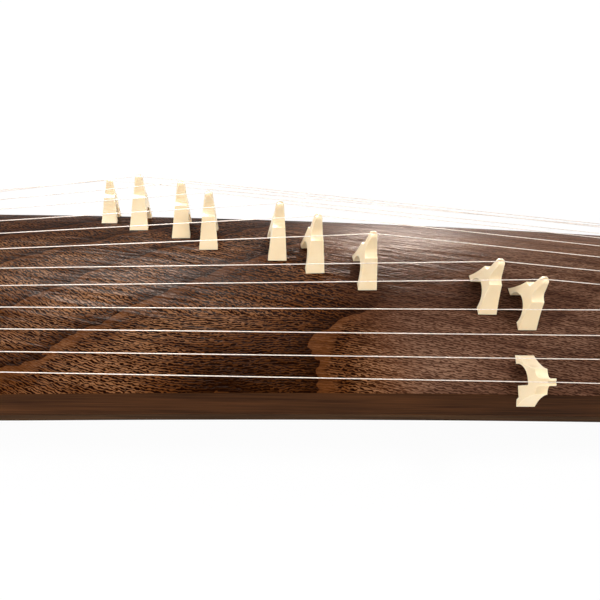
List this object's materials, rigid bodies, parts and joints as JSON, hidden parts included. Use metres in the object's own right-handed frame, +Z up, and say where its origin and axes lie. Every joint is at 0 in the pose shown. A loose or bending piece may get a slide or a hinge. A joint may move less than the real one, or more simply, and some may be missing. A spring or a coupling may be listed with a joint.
{
  "type": "koto",
  "caption": "Long hollow zither with an arched wooden top, strings over curved end ribs, and a sliding bridge under each string.",
  "frame": {"origin": "on the ground plane under the middle of the bounding box", "axes": "+X from the head towards the tail along the body, +Y from string 1's side to the player's side, +Z up"},
  "size_m": [1.834, 0.277, 0.194],
  "materials": {
    "scorched_paulownia": "scorched and burnished",
    "scorched_back": "scorched",
    "bare_paulownia": "planed, bare",
    "rosewood": "oiled and polished",
    "ivory_resin": "satin polish",
    "polyester_string": "twisted and bonded",
    "brass": "polished"
  },
  "bodies": {
    "soundbox": {"back_board": "scorched_back", "head_brace": "bare_paulownia", "head_edge_band": "rosewood", "head_end_plate": "rosewood", "head_foot_far": "rosewood", "head_foot_near": "rosewood", "head_rib": "rosewood", "head_rib_strip": "ivory_resin", "head_tongue": "rosewood", "middle_brace": "bare_paulownia", "soundboard_shell": "scorched_paulownia", "string_01": "polyester_string", "string_02": "polyester_string", "string_03": "polyester_string", "string_04": "polyester_string", "string_05": "polyester_string", "string_06": "polyester_string", "string_07": "polyester_string", "string_08": "polyester_string", "string_09": "polyester_string", "string_10": "polyester_string", "string_11": "polyester_string", "string_12": "polyester_string", "string_13": "polyester_string", "string_eyelet_01": "brass", "string_eyelet_02": "brass", "string_eyelet_03": "brass", "string_eyelet_04": "brass", "string_eyelet_05": "brass", "string_eyelet_06": "brass", "string_eyelet_07": "brass", "string_eyelet_08": "brass", "string_eyelet_09": "brass", "string_eyelet_10": "brass", "string_eyelet_11": "brass", "string_eyelet_12": "brass", "string_eyelet_13": "brass", "tail_brace": "bare_paulownia", "tail_edge_band": "rosewood", "tail_end_plate": "rosewood", "tail_foot_far": "rosewood", "tail_foot_near": "rosewood", "tail_leaf_cover": "rosewood", "tail_rib": "rosewood", "tail_rib_strip": "ivory_resin"},
    "bridge_01": {"bridge_01": "ivory_resin"},
    "bridge_02": {"bridge_02": "ivory_resin"},
    "bridge_03": {"bridge_03": "ivory_resin"},
    "bridge_04": {"bridge_04": "ivory_resin"},
    "bridge_05": {"bridge_05": "ivory_resin"},
    "bridge_06": {"bridge_06": "ivory_resin"},
    "bridge_07": {"bridge_07": "ivory_resin"},
    "bridge_08": {"bridge_08": "ivory_resin"},
    "bridge_09": {"bridge_09": "ivory_resin"},
    "bridge_10": {"bridge_10": "ivory_resin"},
    "bridge_11": {"bridge_11": "ivory_resin"},
    "bridge_12": {"bridge_12": "ivory_resin"},
    "bridge_13": {"bridge_13": "ivory_resin"}
  },
  "joints": [
    {"name": "bridge_01_slide", "type": "slide", "parent": "soundbox", "child": "bridge_01", "axis": [1, 0.004, 0.0025], "range_m": [-0.04, 0.04], "deforming": ["string_01"]},
    {"name": "bridge_02_slide", "type": "slide", "parent": "soundbox", "child": "bridge_02", "axis": [0.9996, 0.0036, -0.0285], "range_m": [-0.04, 0.04], "deforming": ["string_02"]},
    {"name": "bridge_03_slide", "type": "slide", "parent": "soundbox", "child": "bridge_03", "axis": [0.9998, 0.0029, -0.0186], "range_m": [-0.029, 0.04], "deforming": ["string_03"]},
    {"name": "bridge_04_slide", "type": "slide", "parent": "soundbox", "child": "bridge_04", "axis": [0.9999, 0.0021, -0.0139], "range_m": [-0.04, 0.029], "deforming": ["string_04"]},
    {"name": "bridge_05_slide", "type": "slide", "parent": "soundbox", "child": "bridge_05", "axis": [1, 0.0013, 0.0023], "range_m": [-0.018, 0.04], "deforming": ["string_05"]},
    {"name": "bridge_06_slide", "type": "slide", "parent": "soundbox", "child": "bridge_06", "axis": [1, 0.0007, 0.006], "range_m": [-0.04, 0.018], "deforming": ["string_06"]},
    {"name": "bridge_07_slide", "type": "slide", "parent": "soundbox", "child": "bridge_07", "axis": [0.9999, -0.0003, 0.0172], "range_m": [-0.031, 0.04], "deforming": ["string_07"]},
    {"name": "bridge_08_slide", "type": "slide", "parent": "soundbox", "child": "bridge_08", "axis": [0.9998, -0.001, 0.0221], "range_m": [-0.017, 0.031], "deforming": ["string_08"]},
    {"name": "bridge_09_slide", "type": "slide", "parent": "soundbox", "child": "bridge_09", "axis": [0.9997, -0.0017, 0.0257], "range_m": [-0.04, 0.017], "deforming": ["string_09"]},
    {"name": "bridge_10_slide", "type": "slide", "parent": "soundbox", "child": "bridge_10", "axis": [0.9995, -0.0023, 0.0323], "range_m": [-0.009, 0.04], "deforming": ["string_10"]},
    {"name": "bridge_11_slide", "type": "slide", "parent": "soundbox", "child": "bridge_11", "axis": [0.9994, -0.003, 0.0352], "range_m": [-0.026, 0.009], "deforming": ["string_11"]},
    {"name": "bridge_12_slide", "type": "slide", "parent": "soundbox", "child": "bridge_12", "axis": [0.9992, -0.0036, 0.0396], "range_m": [-0.016, 0.026], "deforming": ["string_12"]},
    {"name": "bridge_13_slide", "type": "slide", "parent": "soundbox", "child": "bridge_13", "axis": [0.9991, -0.0041, 0.0429], "range_m": [-0.04, 0.016], "deforming": ["string_13"]}
  ]
}
